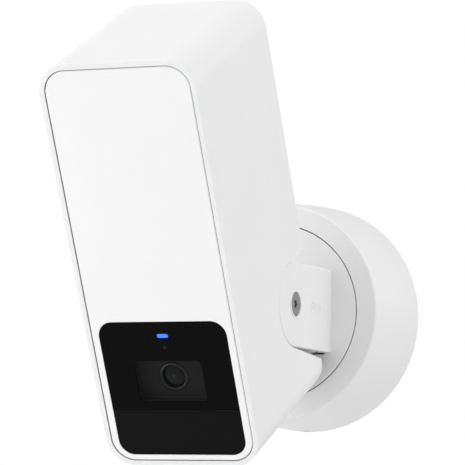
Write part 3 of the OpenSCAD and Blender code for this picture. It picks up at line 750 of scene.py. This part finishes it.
def build_base():
    low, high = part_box("base_housing")
    plate_low, plate_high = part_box("swivel_plate")
    back = high.x
    front = low.y
    plate_r = plate_high.x
    pocket_r = plate_r + 0.6 * MM
    n = 40
    outer = []
    for i in range(9):
        a = math.radians(90 * i / 8)
        outer.append((FACE_R - EDGE_R + EDGE_R * math.sin(a), front + EDGE_R * (1 - math.cos(a))))
    for i in range(1, n + 1):
        t = i / n
        outer.append((side_radius(t, back), front + EDGE_R + (-EDGE_R - front - 0.8 * MM) * t))
    outer += [(back - 0.25 * MM, -0.25 * MM), (back - 0.8 * MM, 0)]
    inner = [(side_radius(1 - i / 12, back) - BASE_WALL, (front + 3 * MM) * i / 12) for i in range(13)]
    pocket_floor, pocket_back = front + 6.8 * MM, front + 9.5 * MM
    bearing_r = 18 * MM
    step = [(pocket_r + BASE_WALL, front + 3 * MM), (pocket_r + BASE_WALL, pocket_back),
            (bearing_r, pocket_back), (bearing_r, pocket_floor), (pocket_r, pocket_floor)]
    lip = fillet(pocket_r + 0.4 * MM, front + 0.4 * MM, 0.4 * MM, 180, 270, 4)
    shell = lathe("base_housing_shell", outer + inner + step + lip, (0, 0, 0), "Y", 192)
    inside, outside = back - 1.5 * MM, back + 0.005
    wells = [rod("cover_screw_well", 3.9 * MM, *span, centre=(0, -10 * MM, 0), axis="Z", segments=48)
             for span in ((inside, outside), (-outside, -inside))]
    shell = cut(shell, *wells)
    piece("base_housing_shell", shell, MATERIALS["white_shell"], "base", ["base_housing"])

    y = plate_low.y
    r = plate_r
    rim_back, web_back, hub_back = y + 6.3 * MM, y + 3 * MM, y + 5 * MM
    rim_r, hub_r, stem_r, bore_r = r - 2.5 * MM, 24 * MM, 14 * MM, 9 * MM
    profile = [(bore_r, y)] + fillet(r - 0.5 * MM, y + 0.5 * MM, 0.5 * MM, 270, 360, 5)
    profile += [(r, rim_back), (rim_r, rim_back), (rim_r, web_back), (hub_r, web_back),
                (hub_r, hub_back), (stem_r, hub_back), (stem_r, plate_high.y), (bore_r, plate_high.y)]
    disc = lathe("swivel_plate_disc", profile, (0, 0, 0), "Y", 192)
    yoke_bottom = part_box("hinge_yoke")[0].z
    disc = cut(disc, block("release_slot", (SLOT_X, y - 0.001, yoke_bottom - SLOT_LOW),
                           (SLOT_X + SLOT_W, y + 4 * MM, yoke_bottom + SLOT_HIGH)))
    piece("swivel_plate_disc", disc, MATERIALS["white_hinge"], "arm", ["swivel_plate"])


# ---------------------------------------------------------------- studio

CAMERA_AT = Vector((0.6822, -1.7280, -0.1308))
CAMERA_AZIMUTH = 23.09
CAMERA_RISE = 5.65
CAMERA_ROLL = 0.98
LENS_MM = 234.45


def build_camera():
    """Camera below the hinge, to the right, looking slightly up, with a long lens."""
    data = bpy.data.cameras.new("camera")
    data.lens = LENS_MM
    data.sensor_width = 36.0
    data.clip_end = 100.0
    camera = bpy.data.objects.new("camera", data)
    bpy.context.scene.collection.objects.link(camera)
    a, e = math.radians(CAMERA_AZIMUTH), math.radians(CAMERA_RISE)
    forward = Vector((-math.sin(a) * math.cos(e), math.cos(a) * math.cos(e), math.sin(e)))
    back = -forward
    right = Vector((math.cos(a), math.sin(a), 0))
    up = back.cross(right)
    basis = Matrix((right, up, back)).transposed().to_4x4()
    roll = Matrix.Rotation(math.radians(CAMERA_ROLL), 4, "Z")
    camera.matrix_world = Matrix.Translation(CAMERA_AT) @ basis @ roll
    bpy.context.scene.camera = camera


AMBIENT = 0.365
LIT_POINT = (0, -0.12, 0.02)
FLOOR_HALF = 4
FLOOR_DROP = 0.25
# name, place in metres, size in metres, watts
LIGHTS = (
    ("key_light", (-1.4, -1.4, 1.4), (1.6, 1.6), 24.5),
    ("side_light", (-2.2, -0.95, 0.05), (0.8, 0.8), 18),
    ("low_light", (-1.5, -1.6, -0.12), (1.2, 0.4), 7),
    ("top_light", (0.2, -0.6, 2.2), (1.6, 1.6), 8),
    ("fill_light", (1.7, -0.3, 1.6), (1.4, 1.4), 23),
    ("rim_light", (1.9, 1.3, 0.6), (1.6, 1.2), 7),
)


def area_light(name, place, target, size, power):
    data = bpy.data.lights.new(name, "AREA")
    data.shape = "RECTANGLE"
    data.size, data.size_y = size
    data.energy = power
    light = bpy.data.objects.new(name, data)
    bpy.context.scene.collection.objects.link(light)
    direction = Vector(target) - Vector(place)
    light.rotation_euler = direction.to_track_quat("-Z", "Y").to_euler()
    light.location = place
    return light


def build_studio():
    scene = bpy.context.scene
    scene.view_settings.view_transform = "Standard"
    world = bpy.data.worlds.new("studio")
    scene.world = world
    world.use_nodes = True
    tree = world.node_tree
    tree.nodes.clear()
    seen = tree.nodes.new("ShaderNodeBackground")
    seen.inputs["Color"].default_value = (1, 1, 1, 1)
    ambient = tree.nodes.new("ShaderNodeBackground")
    ambient.inputs["Color"].default_value = (1, 1, 1, 1)
    ambient.inputs["Strength"].default_value = AMBIENT
    path = tree.nodes.new("ShaderNodeLightPath")
    mix = tree.nodes.new("ShaderNodeMixShader")
    output = tree.nodes.new("ShaderNodeOutputWorld")
    tree.links.new(path.outputs["Is Camera Ray"], mix.inputs["Fac"])
    tree.links.new(ambient.outputs["Background"], mix.inputs[1])
    tree.links.new(seen.outputs["Background"], mix.inputs[2])
    tree.links.new(mix.outputs["Shader"], output.inputs["Surface"])
    for name, place, size, power in LIGHTS:
        area_light(name, place, LIT_POINT, size, power)

    corners = [(-FLOOR_HALF, -FLOOR_HALF, 0), (FLOOR_HALF, -FLOOR_HALF, 0),
               (FLOOR_HALF, FLOOR_HALF, 0), (-FLOOR_HALF, FLOOR_HALF, 0)]
    floor_mesh = mesh_from("floor", corners, [(0, 1, 2, 3)])
    floor_mesh.transform(Matrix.Translation((0, 0, CAD_BOUNDS[0][2] - FLOOR_DROP)))
    floor_mesh.materials.append(finish_material("pale_floor", (0.85, 0.85, 0.85), 0.7, grain=40.0, patch=3.0))
    floor = new_object("floor", floor_mesh)


paint_cad()
build_camera()
build_studio()
build_head_housing()
build_front_panel()
build_camera_glass()
build_status_light()
build_lens()
build_yoke()
build_pivot_screw()
build_base()
